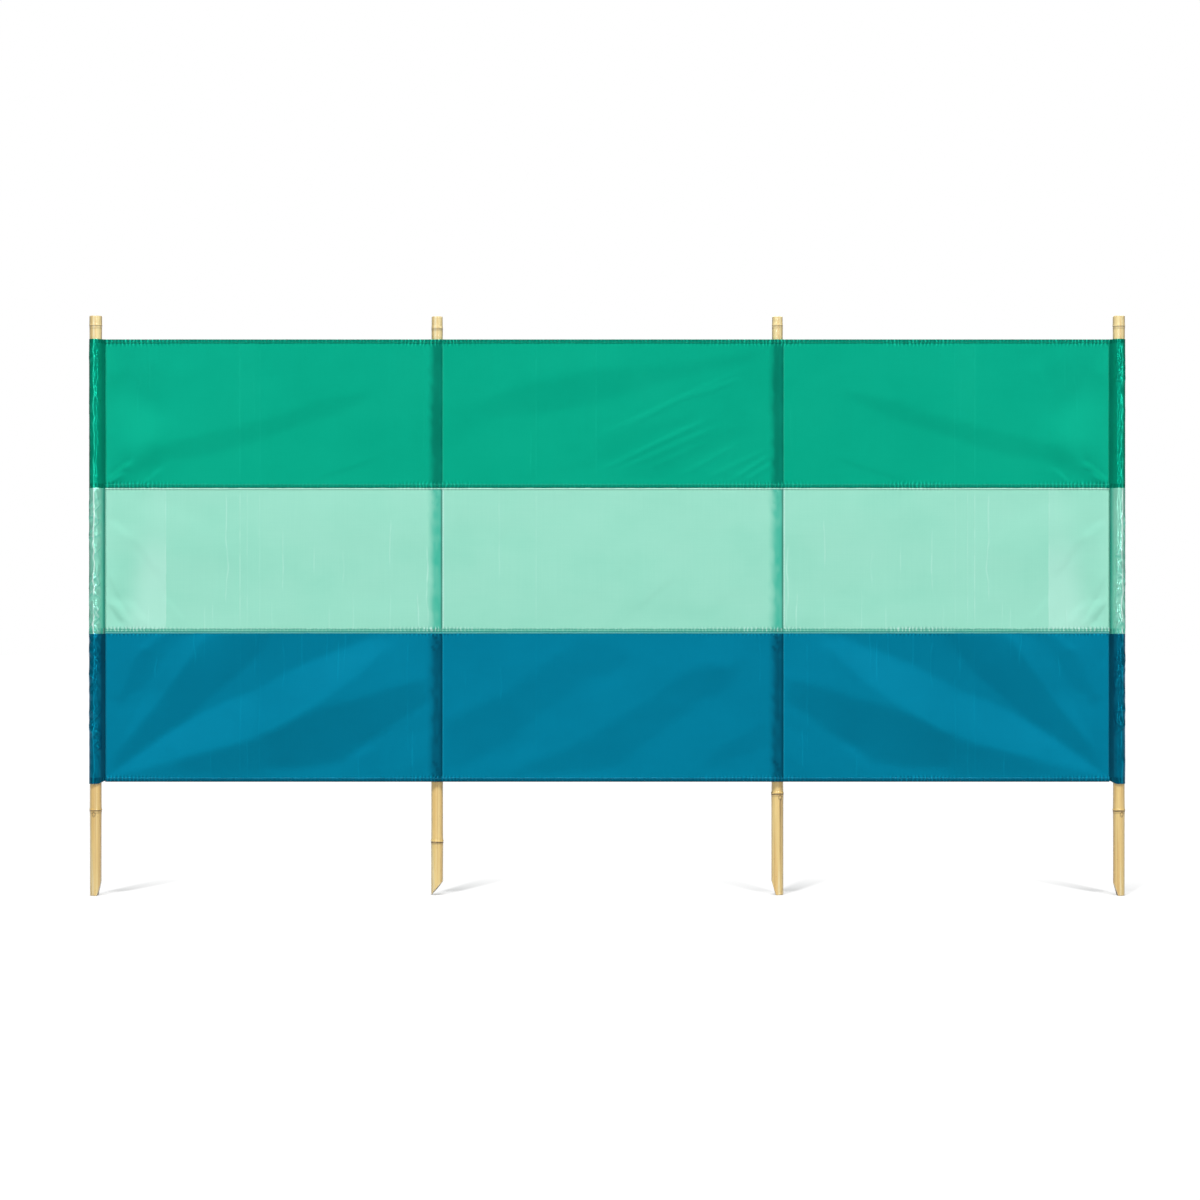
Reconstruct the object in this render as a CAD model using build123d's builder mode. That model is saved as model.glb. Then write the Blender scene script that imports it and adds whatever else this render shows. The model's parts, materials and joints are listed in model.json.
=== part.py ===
from build123d import *
import math
import os

os.makedirs("parts", exist_ok=True)

# Beach windbreak: a cloth of three stripes, sewn with a sleeve for each of four bamboo poles.
# X runs along the windbreak, its smooth front faces -Y and +Z is up.
# Each bay is a stack of flat pieces; the outer bays fold about upright lines beside the inner poles.
# The origin is at the middle of the flat foot of the right inner pole, and every foot is at height 0.

# ---- overall sizes, in millimetres ----
pole_pitch = 790.0  # from one pole's axis to the next
cloth_bottom = 265.0  # the bottom hem's lower edge, above the feet
blue_height = 341.0  # each stripe as it shows, with its hem or seam
mint_height = 337.0
green_height = 345.0
pole_above = 54.0  # bare pole above the cloth

# ---- cloth ----
cloth = 0.6  # one layer
hem_layers = 1.2  # the thickness of a turned hem or a lapped seam
top_hem_height = 9.0
green_seam_height = 10.0
mint_seam_height = 12.0
bottom_hem_height = 8.0
sleeve_room = 0.3  # between a pole's widest ring and its sleeve
layer_gap = 0.3  # between the hems of the flat cloth and an inner sleeve behind them
outer_tail = 22.0  # from an outer pole's axis to the seam that closes its sleeve
inner_tail = 13.0  # the same for an inner pole, whose loop hangs behind the cloth
outer_sleeve_drop = 6.0  # an outer sleeve hangs this far below the hem
fold_offset = 21.5  # from an inner pole's axis to the line where the next bay folds
fold_room = 0.15  # each layer stops its own half thickness and this far short of the fold line

# ---- bamboo ----
ring_height = 1.0  # how far a node's ridge stands out of the culm
ring_half = 5.5  # half the ridge's length along the pole
scar_height = 0.5  # the flare that the leaf sheath leaves under each ridge
scar_length = 2.0
culm_wall = 5.8
diaphragm = 4.0  # the wall across the hollow at each node, from its ridge
gaps_per_pole = 4  # internodes between the lowest and the highest node

# Each pole: its radius at the foot and at the top, the height of its lowest node, its highest
# node below the top, and its stake cut: side, start of the cut from the axis, height, turn.
foot_radius = {"left_outer": 13.3, "left_inner": 13.9, "right_inner": 13.9, "right_outer": 13.3}
top_radius = {"left_outer": 14.2, "left_inner": 12.5, "right_inner": 11.8, "right_outer": 13.6}
low_node = {"left_outer": 197.0, "left_inner": 124.0, "right_inner": 235.0, "right_outer": 197.0}
top_stub = {"left_outer": 23.0, "left_inner": 27.0, "right_inner": 21.0, "right_outer": 24.0}
cut_side = {"left_outer": 1, "left_inner": 1, "right_inner": -1, "right_outer": -1}
cut_start = {"left_outer": 4.5, "left_inner": -12.6, "right_inner": 4.0, "right_outer": 3.3}
cut_height = {"left_outer": 34.0, "left_inner": 32.0, "right_inner": 34.0, "right_outer": 31.0}
cut_turn = {"left_outer": 0.0, "left_inner": -30.0, "right_inner": 0.0, "right_outer": 0.0}

# the bud groove of the right inner pole, below its lowest node
groove_radius = 4.0
groove_depth = 0.9
groove_turn = -63.0
groove_below_node = 9.0

# ---- heights that follow ----
blue_top = cloth_bottom + blue_height
mint_top = blue_top + mint_height
cloth_top = mint_top + green_height
pole_height = cloth_top + pole_above

# ---- places along the windbreak ----
order = ["left_outer", "left_inner", "right_inner", "right_outer"]
pole_x = {name: (i - 2) * pole_pitch for i, name in enumerate(order)}


def widest(name):
    """The largest radius of a pole's rings, which its sleeve goes round."""
    return max(foot_radius[name], top_radius[name]) + ring_height


def sleeve_inside(name):
    return widest(name) + sleeve_room


def sleeve_outside(name):
    return sleeve_inside(name) + cloth


def behind_cloth(name):
    """From the middle of the flat cloth to the axis of an inner pole, in a loop just behind it."""
    return hem_layers / 2 + layer_gap + sleeve_outside(name)


cloth_y = -behind_cloth("right_inner")  # so that the right inner pole stands on the origin


def pole_y(name):
    """Outer poles stand in the plane of the cloth and inner ones behind it."""
    if name in ("left_inner", "right_inner"):
        return cloth_y + behind_cloth(name)
    return cloth_y


# ---- bamboo poles ----
for name in order:
    high_node = pole_height - top_stub[name]
    step = (high_node - low_node[name]) / gaps_per_pole
    heights = [low_node[name] + step * i for i in range(gaps_per_pole + 1)]
    place = Vector(pole_x[name], pole_y(name), 0)
    with BuildPart() as pole:
        with BuildSketch(Plane(origin=place, x_dir=(1, 0, 0), z_dir=(0, -1, 0))) as culm:
            with BuildLine() as outline:
                points = [(0, 0), (foot_radius[name], 0)]
                below = foot_radius[name]
                for i, z in enumerate(heights):
                    # the internode above is a little thicker or thinner than the one below
                    above = below + (top_radius[name] - foot_radius[name]) / len(heights)
                    crest = max(below, above) + ring_height
                    points.append((below, z - ring_half - scar_length))
                    points.append((below + scar_height, z - ring_half))
                    points.append((crest, z))
                    points.append((above, z + ring_half))
                    below = above
                points.append((below, pole_height))
                points.append((0, pole_height))
                Polyline(points, close=True)
            make_face()
        revolve(axis=Axis(place, (0, 0, 1)))
        # the hollow stays open at both cut ends, up to the nearest node
        with BuildSketch(Plane(origin=place)) as foot_hollow:
            Circle(foot_radius[name] - culm_wall)
        extrude(amount=low_node[name] - diaphragm, mode=Mode.SUBTRACT)
        with BuildSketch(Plane(origin=place).offset(pole_height)) as top_hollow:
            Circle(top_radius[name] - culm_wall)
        extrude(amount=diaphragm - top_stub[name], mode=Mode.SUBTRACT)
        if name == "right_inner":
            # a shallow channel that is deepest under the node and dies out at the foot
            angle = math.radians(groove_turn)
            out = Vector(math.cos(angle), math.sin(angle), 0)
            bottom = place + out * (foot_radius[name] + groove_radius)
            length = low_node[name] - groove_below_node
            top = bottom - out * groove_depth + Vector(0, 0, length)
            channel = Plane(origin=bottom, x_dir=out.cross(top - bottom), z_dir=top - bottom)
            with BuildSketch(channel) as groove:
                Circle(groove_radius)
            extrude(amount=length, mode=Mode.SUBTRACT)
        # the foot is slashed to a stake, so the cut plane leans away from the axis going up
        side = cut_side[name]
        lean = Vector(side * (foot_radius[name] - cut_start[name]), 0, cut_height[name])
        normal = Vector(side * lean.Z, 0, -abs(lean.X)).rotate(Axis.Z, cut_turn[name])
        corner = Vector(side * cut_start[name], 0, 0).rotate(Axis.Z, cut_turn[name]) + place
        split(bisect_by=Plane(origin=corner, z_dir=normal), keep=Keep.BOTTOM)
    pole.part.label = f"{name}_pole"
    export_step(pole.part, f"parts/{name}_pole.step")

# ---- sleeves: one length of each stripe's cloth round each pole ----
for name in order:
    inner = name in ("left_inner", "right_inner")
    side = -1 if name == "right_outer" else 1
    reach = inner_tail if inner else outer_tail
    drop = 0.0 if inner else outer_sleeve_drop
    # the tail, where the loop closes on two layers
    tail_x = pole_x[name] + side * (reach - hem_layers / 2)
    tail_y = cloth_y + layer_gap + hem_layers if inner else cloth_y
    end_x = pole_x[name] + side * (reach - hem_layers)
    stripes = {
        "blue": (cloth_bottom - drop, blue_top),
        "mint": (blue_top, mint_top),
        "green": (mint_top, cloth_top),
    }
    for colour, (low, high) in stripes.items():
        with BuildPart() as sleeve:
            with BuildSketch(Plane.XY.offset(low)) as around:
                with Locations((pole_x[name], pole_y(name))):
                    Circle(sleeve_outside(name))
                with Locations((tail_x, tail_y)):
                    Rectangle(hem_layers, hem_layers)
                make_hull()
            extrude(amount=high - low)
            with BuildSketch(Plane.XY.offset(low)) as room:
                with Locations((pole_x[name], pole_y(name))):
                    Circle(sleeve_inside(name))
                with Locations((end_x, tail_y)):
                    Circle(hem_layers / 2 - cloth / 2)
                make_hull()
            extrude(amount=high - low, mode=Mode.SUBTRACT)
        sleeve.part.label = f"{name}_{colour}_sleeve"
        export_step(sleeve.part, f"parts/{name}_{colour}_sleeve.step")

# ---- flat cloth: each bay is a stack of stripes, seams and hems from the bottom up ----
fold_left = pole_x["left_inner"] + fold_offset
fold_right = pole_x["right_inner"] + fold_offset
stack = [
    ("bottom_hem", cloth_bottom, bottom_hem_height, hem_layers),
    ("blue_panel", cloth_bottom + bottom_hem_height, blue_height - bottom_hem_height, cloth),
    ("mint_seam", blue_top, mint_seam_height, hem_layers),
    ("mint_panel", blue_top + mint_seam_height, mint_height - mint_seam_height, cloth),
    ("green_seam", mint_top, green_seam_height, hem_layers),
    (
        "green_panel",
        mint_top + green_seam_height,
        green_height - green_seam_height - top_hem_height,
        cloth,
    ),
    ("top_hem", cloth_top - top_hem_height, top_hem_height, hem_layers),
]
for piece, low, height, thickness in stack:
    # the flat cloth starts at an outer sleeve's tail and stops short of a fold
    short = thickness / 2 + fold_room
    bays = {
        "left": (pole_x["left_outer"] + outer_tail, fold_left - short),
        "middle": (fold_left + short, fold_right - short),
        "right": (fold_right + short, pole_x["right_outer"] - outer_tail),
    }
    for bay, (start, end) in bays.items():
        with BuildPart() as panel:
            with BuildSketch(Plane.XY.offset(low)) as strip:
                with Locations(((start + end) / 2, cloth_y)):
                    Rectangle(end - start, thickness)
            extrude(amount=height)
        panel.part.label = f"{bay}_{piece}"
        export_step(panel.part, f"parts/{bay}_{piece}.step")
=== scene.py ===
import json
import math

import bmesh
import bpy
import numpy as np
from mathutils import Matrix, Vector


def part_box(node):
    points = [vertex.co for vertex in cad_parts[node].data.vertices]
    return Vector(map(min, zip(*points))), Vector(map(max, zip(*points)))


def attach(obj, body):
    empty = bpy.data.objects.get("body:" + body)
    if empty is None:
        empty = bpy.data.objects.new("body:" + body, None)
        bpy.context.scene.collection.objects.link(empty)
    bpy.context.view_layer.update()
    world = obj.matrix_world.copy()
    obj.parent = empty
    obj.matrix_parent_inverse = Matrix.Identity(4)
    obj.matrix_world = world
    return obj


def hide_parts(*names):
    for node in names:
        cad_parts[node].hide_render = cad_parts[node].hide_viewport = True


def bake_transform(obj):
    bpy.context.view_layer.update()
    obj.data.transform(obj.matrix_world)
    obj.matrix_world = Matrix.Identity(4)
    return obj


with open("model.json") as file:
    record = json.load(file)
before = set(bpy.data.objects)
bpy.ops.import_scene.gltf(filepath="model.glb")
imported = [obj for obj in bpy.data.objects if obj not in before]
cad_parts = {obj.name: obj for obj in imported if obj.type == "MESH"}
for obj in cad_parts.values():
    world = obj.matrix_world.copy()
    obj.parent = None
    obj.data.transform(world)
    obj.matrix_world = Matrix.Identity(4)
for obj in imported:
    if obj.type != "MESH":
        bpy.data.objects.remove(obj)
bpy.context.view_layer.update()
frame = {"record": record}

# Metres throughout. X runs along the windbreak, its front faces -Y, and the poles' feet are at z = 0.
MM = 1000.0  # millimetres in a metre: the tables of folds and creases are in millimetres

# ---- places read from the frame ----
record = frame["record"]
MOUNTS = {mount["name"]: mount["pos_m"] for mount in record["mounts"]}
FOLDS = {joint["name"]: joint["pos_m"][0] for joint in record["behaviour"]["joints"]}
POLES = ["left_outer", "left_inner", "right_inner", "right_outer"]
INNER_POLES = ["left_inner", "right_inner"]
POLE_BODY = dict(zip(POLES, ["left_bay", "left_bay", "middle_bay", "right_bay"]))
AXIS = {name: tuple(MOUNTS[f"{name}_stake"][:2]) for name in POLES}
POLE_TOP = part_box("right_inner_pole")[1].z
HEM_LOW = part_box("middle_bottom_hem")[0].z
CLOTH_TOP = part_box("middle_top_hem")[1].z
CLOTH_Y = sum(corner.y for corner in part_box("middle_blue_panel")) / 2
STRIPES = {
    colour: tuple(corner.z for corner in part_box(f"middle_{colour}_panel")) for colour in ("blue", "mint", "green")
}
(BLUE_LOW, BLUE_HIGH), (MINT_LOW, MINT_HIGH), (GREEN_LOW, GREEN_HIGH) = STRIPES.values()
SLEEVE_SPANS = {"blue": (HEM_LOW, BLUE_HIGH), "mint": (BLUE_HIGH, MINT_HIGH), "green": (MINT_HIGH, CLOTH_TOP)}
LEFT_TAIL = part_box("left_blue_panel")[0].x
RIGHT_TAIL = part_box("right_blue_panel")[1].x
INNER_SEAM = 0.0130  # from an inner pole's axis to the seam that closes its sleeve
SEAM_LEFT, SEAM_RIGHT = [AXIS[pole][0] + INNER_SEAM for pole in INNER_POLES]
BAYS = {"left": (LEFT_TAIL, SEAM_LEFT), "middle": (SEAM_LEFT, SEAM_RIGHT), "right": (SEAM_RIGHT, RIGHT_TAIL)}
KIND = {"left": "outer", "middle": "middle", "right": "outer"}
CLOTH_THICK = 0.0003


def place_in_scene(name, data):
    made = bpy.data.objects.new(name, data)
    bpy.context.scene.collection.objects.link(made)
    return made


# ---- camera: level, at the height of the object's middle ----
VIEW_WIDTH = 2.7799  # what the frame spans at the cloth
VIEW_DISTANCE = 7.0
SENSOR_WIDTH = 36.0
camera_data = bpy.data.cameras.new("camera")
camera_data.sensor_width = SENSOR_WIDTH
camera_data.lens = SENSOR_WIDTH * VIEW_DISTANCE / VIEW_WIDTH
camera_data.clip_end = 100.0
camera = place_in_scene("camera", camera_data)
camera.location = (-0.4119, CLOTH_Y - VIEW_DISTANCE, 0.6843)
camera.rotation_euler = (math.radians(90), 0, 0)
bpy.context.scene.camera = camera
bpy.context.scene.view_settings.view_transform = "Standard"


# ---- shader expressions ----
class Value:
    """A socket that can be added, subtracted and multiplied like a number."""

    def __init__(self, finish, socket):
        self.finish = finish
        self.socket = socket

    def maths(self, operation, first, second):
        return self.finish.value("ShaderNodeMath", 0, {"operation": operation}, {0: first, 1: second})

    def __add__(self, other):
        return self.maths("ADD", self, other)

    __radd__ = __add__

    def __sub__(self, other):
        return self.maths("SUBTRACT", self, other)

    def __rsub__(self, other):
        return self.maths("SUBTRACT", other, self)

    def __mul__(self, other):
        return self.maths("MULTIPLY", self, other)

    def step(self, low, high):
        """0 below low, 1 above high and smooth between; it runs down where low is above high."""
        return self.finish.value(
            "ShaderNodeMapRange", "Result", {"interpolation_type": "SMOOTHSTEP"},
            {"Value": self, "From Min": low, "From Max": high},
        )


class Finish:
    """A material or world under construction: every node comes from add()."""

    def __init__(self, owner):
        self.owner = owner
        owner.use_nodes = True
        self.tree = owner.node_tree
        self.tree.nodes.clear()

    def add(self, kind, settings=None, inputs=None):
        """A node with these settings, each input joined to a value or shader, or set to a constant."""
        made = self.tree.nodes.new(kind)
        for key, setting in (settings or {}).items():
            setattr(made, key, setting)
        for key, given in (inputs or {}).items():
            if isinstance(given, Value):
                self.tree.links.new(given.socket, made.inputs[key])
            else:
                made.inputs[key].default_value = given
        return made

    def value(self, kind, output, settings=None, inputs=None):
        return Value(self, self.add(kind, settings, inputs).outputs[output])

    def mix(self, share, first, second):
        """A colour between two colours."""
        first, second = [tone if isinstance(tone, Value) else (*tone, 1.0) for tone in (first, second)]
        return self.value("ShaderNodeMix", 2, {"data_type": "RGBA"}, {0: share, 6: first, 7: second})

    def over(self, tone, coats):
        """A colour with other colours laid over it in turn, each with its share."""
        for share, other in coats:
            tone = self.mix(share, tone, other)
        return tone

    def noise(self, place, scale, detail=2.0, rough=0.5):
        inputs = {"Vector": place, "Scale": scale, "Detail": detail, "Roughness": rough}
        return self.value("ShaderNodeTexNoise", 0, {}, inputs)

    def grain(self, place, across, along, detail=2.0, rough=0.5):
        """Noise stretched to this many cells a metre each way."""
        inputs = {0: place, 1: (across, along, 1.0)}
        return self.noise(self.value("ShaderNodeVectorMath", 0, {"operation": "MULTIPLY"}, inputs), 1.0, detail, rough)

    def ribs(self, place, direction, scale, waver, more=None):
        inputs = {"Vector": place, "Scale": scale, "Distortion": waver, **(more or {})}
        return self.value("ShaderNodeTexWave", "Fac", {"bands_direction": direction}, inputs)

    def attribute(self, name):
        return self.value("ShaderNodeAttribute", "Fac", {"attribute_name": name})

    def light_ray(self, kind):
        return self.value("ShaderNodeLightPath", f"Is {kind} Ray")

    def bump(self, height, distance, strength=1.0, normal=None):
        inputs = {"Height": height, "Distance": distance, "Strength": strength}
        if normal is not None:
            inputs["Normal"] = normal
        return self.value("ShaderNodeBump", 0, {}, inputs)

    def close(self, kind, inputs, output="ShaderNodeOutputMaterial"):
        """Joins the last shader to the output, and gives the finished material or world."""
        self.add(output, {}, {0: self.value(kind, 0, {}, inputs)})
        return self.owner


def linear(red, green, blue):
    """A display colour from 0 to 255 as the linear colour that a shader takes."""
    tone = np.array([red, green, blue]) / 255.0
    return tuple(float(v) for v in np.where(tone < 0.04045, tone / 12.92, ((tone + 0.055) / 1.055) ** 2.4))


def shade(tone, share):
    return tuple(share * part for part in tone)


def polyester(name, single, layered, sheen_tone, gloss, beneath=(0.0, 0.1, 0.15)):
    """Thin woven polyester: UV metres carry the weave, and its gloss is tinted like the cloth. Its attributes, in
    order:
    how much is stacked, with painted shade added; how strong the painted sheen and highlights are; another stripe's
    cloth that shows through; the puckering beside stitches, which also paints shade in its tucks and glints beside
    them;
    and the smoothness of cloth stretched round a pole."""
    finish = Finish(bpy.data.materials.new(name))
    cloth_uv = finish.value("ShaderNodeUVMap", 0, {"uv_map": "cloth"})
    cloudy = finish.grain(cloth_uv, 5.0, 7.0, 3.0, 0.55)
    streaks = finish.grain(cloth_uv, 420.0, 6.0, 2.0, 0.6)
    slubs = finish.grain(cloth_uv, 9.0, 520.0, 2.0, 0.6)
    layers, pressed, under, tuck, taut = [
        finish.attribute(mark) for mark in ("layers", "pressed", "under", "tuck", "taut")
    ]
    # cloth gathered along a row of stitches: about every 9 mm a tuck in painted shade, and a painted glint beside some
    gathers = finish.ribs(cloth_uv, "X", 36.0, 3.5, {"Detail": 1.0, "Detail Scale": 2.0})
    painted_glint = tuple(min(0.95, part) for part in shade(sheen_tone, 1.5))
    tone = finish.over(finish.mix(layers, single, layered), [
        # past two layers, painted shade darker still
        (layers.step(1.0, 2.0), shade(layered, 0.35)),
        (cloudy.step(0.30, 0.75) * 0.08, sheen_tone),
        (cloudy.step(0.52, 0.25) * 0.05, layered),
        ((streaks + slubs).step(0.6, 1.4) * 0.05, layered),
        # painted sheen and highlights, and at their strongest painted glints
        (pressed * 0.35, sheen_tone),
        (pressed.step(3.0, 6.0), painted_glint),
        (under, beneath),
        # painted shade in the tucks, and painted glints beside some of them
        (gathers.step(0.55, 0.95) * tuck * 0.75, shade(layered, 0.5)),
        (gathers.step(0.34, 0.08) * tuck * streaks.step(0.35, 0.60) * 0.8, painted_glint),
    ])
    # warp and weft threads, and the fine crinkles of cloth that was folded up
    warp, weft = [finish.ribs(cloth_uv, direction, 280.0, 0.6) for direction in "XY"]
    normal = finish.bump(warp * weft, 0.00002, 0.5)
    normal = finish.bump(finish.grain(cloth_uv, 60.0, 26.0, 5.0, 0.62), 0.0016, 0.05, normal)
    return finish.close("ShaderNodeBsdfPrincipled", {
        "Base Color": tone,
        "Roughness": 0.37 + cloudy * 0.05 + streaks * 0.03 - taut * 0.19,
        "Normal": finish.bump(gathers * tuck, 0.0010, -0.8, normal),
        "Specular IOR Level": 0.75,
        "Specular Tint": (*gloss, 1.0),
        "Metallic": taut * 0.32,
    })


def thread(name, tone):
    """Soft spun thread: its colour and height vary with a fine fuzz."""
    finish = Finish(bpy.data.materials.new(name))
    fuzz = finish.noise(finish.value("ShaderNodeTexCoord", "Object"), 900.0, 2.0, 0.6)
    return finish.close("ShaderNodeBsdfPrincipled", {
        "Base Color": finish.mix(fuzz.step(0.3, 0.7), shade(tone, 0.72), tone),
        "Roughness": 0.45 + fuzz * 0.2,
        "Normal": finish.bump(fuzz, 0.0001, 0.4),
    })


def bamboo(name):
    """A dried, lacquered culm: UV metres run along it. Attributes: ring marks the nodes' dark lines, pale the lighter
    upper culm, cut the sawn ends, hollow the inside, painted dark as shade, groove the scar of a branch, and the last
    darker bamboo, with painted shade down one side and at both edges."""
    finish = Finish(bpy.data.materials.new(name))
    culm_uv = finish.value("ShaderNodeUVMap", 0, {"uv_map": "culm"})
    fibres = finish.grain(culm_uv, 900.0, 9.0, 3.0, 0.6)
    broad = finish.grain(culm_uv, 75.0, 3.0, 3.0, 0.55)
    stripes = finish.grain(culm_uv, 170.0, 2.5)
    specks = finish.grain(culm_uv, 330.0, 150.0)
    end_grain = finish.noise(finish.value("ShaderNodeTexCoord", "Object"), 1500.0)
    ring, pale, cut, hollow, groove, aged = [
        finish.attribute(mark) for mark in ("ring", "pale", "cut", "hollow", "groove", "aged")
    ]
    tone = finish.mix(broad.step(0.32, 0.72), linear(248, 209, 127), linear(255, 231, 158))
    tone = finish.over(tone, [
        (pale * 0.90, linear(255, 236, 176)),
        (stripes.step(0.47, 0.70) * 0.55, linear(214, 164, 92)),
        (stripes.step(0.45, 0.28) * 0.75, linear(255, 244, 205)),
        (fibres.step(0.35, 0.8) * 0.30, linear(198, 156, 88)),
        (specks.step(0.68, 0.78) * 0.5, linear(150, 112, 62)),
        # darker bamboo, with painted shade down one side and at both edges
        (aged, linear(168, 122, 64)),
        (groove * 0.8, linear(108, 70, 28)),
        (ring, linear(64, 34, 10)),
        (cut, finish.mix(end_grain.step(0.35, 0.7), linear(196, 158, 98), linear(230, 202, 146))),
        # painted shade inside the hollow
        (hollow, linear(70, 50, 30)),
    ])
    return finish.close("ShaderNodeBsdfPrincipled", {
        "Base Color": tone,
        "Roughness": 0.30 + fibres * 0.12 + ring * 0.3 + cut * 0.3,
        "Normal": finish.bump(fibres, 0.0003, 0.35, finish.bump(broad, 0.0006, 0.25)),
        "Specular IOR Level": 0.45,
        "Coat Weight": 0.8,
        "Coat Roughness": 0.11,
    })


# each polyester's colour in one layer and in two or more, which also gives its painted shade, the tone of its
# painted sheen, the tint of its gloss, and what shows through
CLOTHS = {
    "green": polyester(
        "green_polyester", linear(4, 162, 128), linear(1, 110, 86), linear(26, 190, 154), (0.02, 1.0, 0.78)
    ),
    "mint": polyester(
        "mint_polyester", linear(155, 226, 202), linear(58, 184, 157), linear(202, 246, 232), (0.50, 1.0, 0.88),
        linear(20, 150, 165),
    ),
    "blue": polyester(
        "blue_polyester", linear(2, 119, 149), linear(2, 61, 83), linear(8, 146, 178), (0.01, 0.62, 1.0)
    ),
}
THREADS = {
    "green": thread("green_thread", linear(30, 150, 120)),
    "mint": thread("mint_thread", linear(130, 205, 180)),
    "blue": thread("blue_thread", linear(24, 110, 138)),
}
CULM = bamboo("bamboo")


# ---- numpy helpers ----
LATTICE = 512


def smooth(value, low, high):
    """0 at low, 1 at high, and an even S curve between them."""
    t = np.clip((value - low) / (high - low), 0.0, 1.0)
    return t * t * (3.0 - 2.0 * t)


def window(value, start, full, leave, end):
    """0, then 1 from full to leave, then 0 again, with an S curve up and another down."""
    return smooth(value, start, full) * (1.0 - smooth(value, leave, end))


def bell(value, width):
    """A bell curve: 1 at 0, and e to the power of minus the square of value over width."""
    return np.exp(-((value / width) ** 2))


def between(table, a, b):
    """A table's value at the place (a, b), shared evenly between the four round it; the table repeats."""
    i, j = np.broadcast_arrays(np.floor(a).astype(int), np.floor(b).astype(int))
    return shared(table, i, j, a - np.floor(a), b - np.floor(b))


def shared(table, i, j, fa, fb):
    after_i, after_j = (i + 1) % table.shape[0], (j + 1) % table.shape[1]
    i, j = i % table.shape[0], j % table.shape[1]
    low = table[i, j] * (1 - fa) + table[after_i, j] * fa
    return low * (1 - fb) + (table[i, after_j] * (1 - fa) + table[after_i, after_j] * fa) * fb


def waves(along, across, cell_along, cell_across, seed):
    """Smooth noise from -1 to 1: random heights on a lattice, joined by S curves both ways."""
    heights = np.random.default_rng(seed).uniform(-1.0, 1.0, (LATTICE, LATTICE))
    a, b = along / cell_along + 200.0, across / cell_across + 200.0
    i, j = np.floor(a).astype(int), np.floor(b).astype(int)
    return shared(heights, i, j, smooth(a - i, 0.0, 1.0), smooth(b - j, 0.0, 1.0))


def wander(along, cell, seed):
    """The same noise along one line only."""
    return waves(along, 0.0 * along, cell, 1.0, seed)


def from_line(u, w, u1, w1, u2, w2):
    """How far along a line its nearest point is, from 0 to 1, and how far away that point is."""
    du, dw = u2 - u1, w2 - w1
    t = np.clip(((u - u1) * du + (w - w1) * dw) / (du * du + dw * dw), 0.0, 1.0)
    return t, np.hypot(u - u1 - t * du, w - w1 - t * dw)


def stroke(u, w, ends, half, value):
    """A soft straight streak of this value from one point to another, given in millimetres: it fades over its
    half width and over a quarter of its length at each end."""
    half = half / MM
    t, away = from_line(u, w, *(part / MM for part in ends))
    return value * window(t, -0.05, 0.25, 0.75, 1.05) * (1.0 - smooth(away, 0.45 * half, 1.25 * half))


def patch(u, w, outline, soft, value):
    """A plateau of this value inside a closed outline in millimetres, with an edge soft on both sides of it."""
    away = np.full(np.broadcast(u, w).shape, 1.0)
    inside = np.zeros(away.shape, bool)
    outline = np.array(outline) / MM
    for (u1, w1), (u2, w2) in zip(outline, np.roll(outline, -1, axis=0)):
        away = np.minimum(away, from_line(u, w, u1, w1, u2, w2)[1])
        if w1 != w2:
            inside ^= ((w > w1) != (w > w2)) & (u < u1 + (u2 - u1) * (w - w1) / (w2 - w1))
    return value * smooth(np.where(inside, away, -away), -soft / MM, soft / MM)


def places(start, end, coarse, fine, marks, reach):
    """Grid lines from start to end: coarse steps, with fine ones within reach of each mark."""
    lines = [np.linspace(start, end, int(math.ceil((end - start) / coarse)) + 1)]
    lines += [np.arange(mark - reach, mark + reach, fine) for mark in marks]
    lines = np.unique(np.round(np.concatenate(lines), 6))
    lines = lines[(lines > start + 0.4 * fine) & (lines < end - 0.4 * fine)]
    keep = np.concatenate([[True], np.diff(lines) > 0.45 * fine])
    return np.concatenate([[start], lines[keep], [end]])


def corners_of(rows, columns, closed=False):
    """The four point numbers of each quad in a grid; closed joins the last column to the first."""
    row, column = np.meshgrid(np.arange(rows - 1), np.arange(columns if closed else columns - 1), indexing="ij")
    low, after = row * columns, (column + 1) % columns
    return np.stack([low + column, low + after, low + columns + after, low + columns + column], axis=-1).reshape(-1, 4)


def fill(items, key, values, kind=np.float32):
    items.foreach_set(key, values.reshape(-1).astype(kind))


def surface(name, points, finish, closed=False, uv=None, marks=None, thick=0.0):
    """A grid of points, from its x, y and z, made a mesh of quads, with its UV map, attributes and slot."""
    x, y, z = np.broadcast_arrays(*points)
    corners = corners_of(*x.shape, closed)
    mesh = bpy.data.meshes.new(name)
    mesh.vertices.add(x.size)
    fill(mesh.vertices, "co", np.stack([x, y, z], axis=-1))
    mesh.loops.add(corners.size)
    fill(mesh.loops, "vertex_index", corners, np.int32)
    mesh.polygons.add(len(corners))
    fill(mesh.polygons, "loop_start", np.arange(0, corners.size, 4), np.int32)
    fill(mesh.polygons, "use_smooth", np.ones(len(corners)), bool)
    if uv is not None:
        layer, *coordinates = uv
        coordinates = np.stack([np.broadcast_to(part, x.shape).reshape(-1) for part in coordinates], axis=-1)
        fill(mesh.uv_layers.new(name=layer).data, "uv", coordinates[corners.reshape(-1)])
    for mark, values in (marks or {}).items():
        fill(mesh.attributes.new(mark, "FLOAT", "POINT").data, "value", np.broadcast_to(values, x.shape))
    mesh.update(calc_edges=True)
    mesh.validate()
    mesh.materials.append(finish)
    made = place_in_scene(name, mesh)
    if thick:
        solid = made.modifiers.new("thickness", "SOLIDIFY")
        solid.thickness = thick
        solid.offset = 0.0
    return made


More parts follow.
